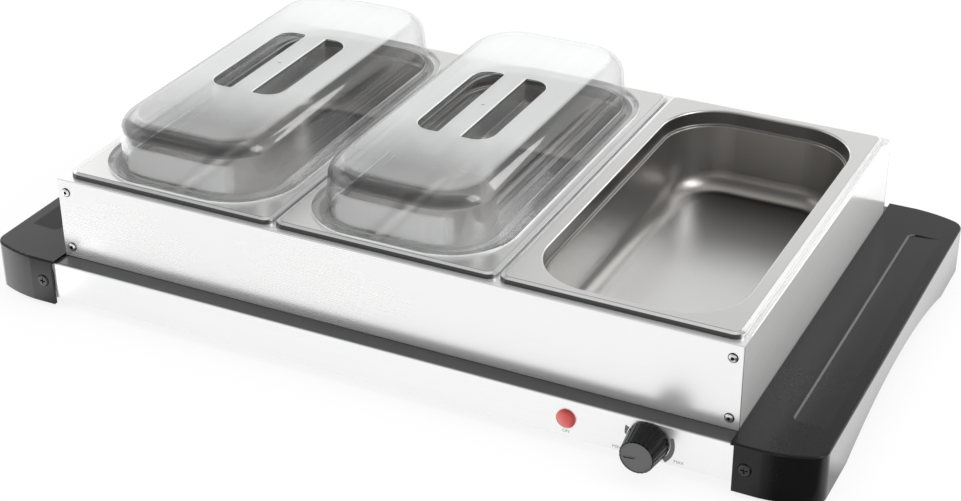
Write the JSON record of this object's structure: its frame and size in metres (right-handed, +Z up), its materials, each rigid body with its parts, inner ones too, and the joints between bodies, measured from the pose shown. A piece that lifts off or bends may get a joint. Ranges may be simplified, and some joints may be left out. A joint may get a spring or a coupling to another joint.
{
  "type": "food warmer",
  "caption": "Countertop food warmer: a low heated base with end handles, a riveted rack, deep drawn pans hung in it, and clear lift-off lids with moulded grips.",
  "frame": {"origin": "under the middle of the whole outline, on the surface that the feet stand on", "axes": "+X to the right as seen from the knob side, +Y to the back, +Z up"},
  "size_m": [0.666, 0.3962, 0.1503],
  "materials": {
    "plate_steel": "brushed along X, satin",
    "rack_steel": "satin",
    "pan_steel": "satin, drawn",
    "cover_steel": "galvanised",
    "screw_steel": "plated",
    "rivet_metal": "satin",
    "handle_plastic": "fine satin moulding",
    "knob_plastic": "gloss",
    "lid_clear": "clear gloss",
    "lens_red": "translucent gloss",
    "foot_rubber": "matte",
    "gland_rubber": "matte",
    "foil": "foil",
    "heater_lead": "matte silicone",
    "cutout_metal": "satin",
    "control_moulding": "satin",
    "nut_brass": "turned",
    "sensor_copper": "drawn",
    "block_nylon": "satin"
  },
  "bodies": {
    "base": {"hot_plate_shell": "plate_steel", "bottom_cover": "cover_steel", "bottom_cover_screws": "screw_steel", "rubber_feet": "foot_rubber", "foot_screws": "screw_steel", "left_handle": "handle_plastic", "right_handle": "handle_plastic", "handle_screws": "screw_steel", "handle_brackets": "cover_steel", "heater_foil": "foil", "heater_wire": "heater_lead", "thermal_cutout": "cutout_metal", "thermostat_body": "control_moulding", "thermostat_nut": "nut_brass", "thermostat_sensor": "sensor_copper", "indicator_lens": "lens_red", "indicator_body": "control_moulding", "cord_gland": "gland_rubber", "terminal_block": "block_nylon"},
    "knob": {"control_knob": "knob_plastic", "thermostat_shaft": "nut_brass"},
    "rack": {"rack_front_panel": "rack_steel", "rack_rear_panel": "rack_steel", "rack_left_end": "rack_steel", "rack_right_end": "rack_steel", "rack_divider_left": "rack_steel", "rack_divider_right": "rack_steel", "rack_rivets": "rivet_metal"},
    "pan_left": {"pan_left": "pan_steel"},
    "pan_middle": {"pan_middle": "pan_steel"},
    "pan_right": {"pan_right": "pan_steel"},
    "lid_left": {"lid_left": "lid_clear"},
    "lid_middle": {"lid_middle": "lid_clear"}
  },
  "joints": [
    {"name": "knob_turn", "type": "hinge", "parent": "base", "child": "knob", "pos_m": [0.2139, -0.1757, 0.0229], "axis": [0, 1, 0], "range_deg": [0, 230]},
    {"name": "rack_lift", "type": "slide", "parent": "base", "child": "rack", "axis": [0, 0, 1], "range_m": [0, 0.08]},
    {"name": "pan_left_lift", "type": "slide", "parent": "rack", "child": "pan_left", "axis": [0, 0, 1], "range_m": [0, 0.09]},
    {"name": "pan_middle_lift", "type": "slide", "parent": "rack", "child": "pan_middle", "axis": [0, 0, 1], "range_m": [0, 0.09]},
    {"name": "pan_right_lift", "type": "slide", "parent": "rack", "child": "pan_right", "axis": [0, 0, 1], "range_m": [0, 0.09]},
    {"name": "lid_left_lift", "type": "slide", "parent": "pan_left", "child": "lid_left", "axis": [0, 0, 1], "range_m": [0, 0.06]},
    {"name": "lid_middle_lift", "type": "slide", "parent": "pan_middle", "child": "lid_middle", "axis": [0, 0, 1], "range_m": [0, 0.06]}
  ]
}
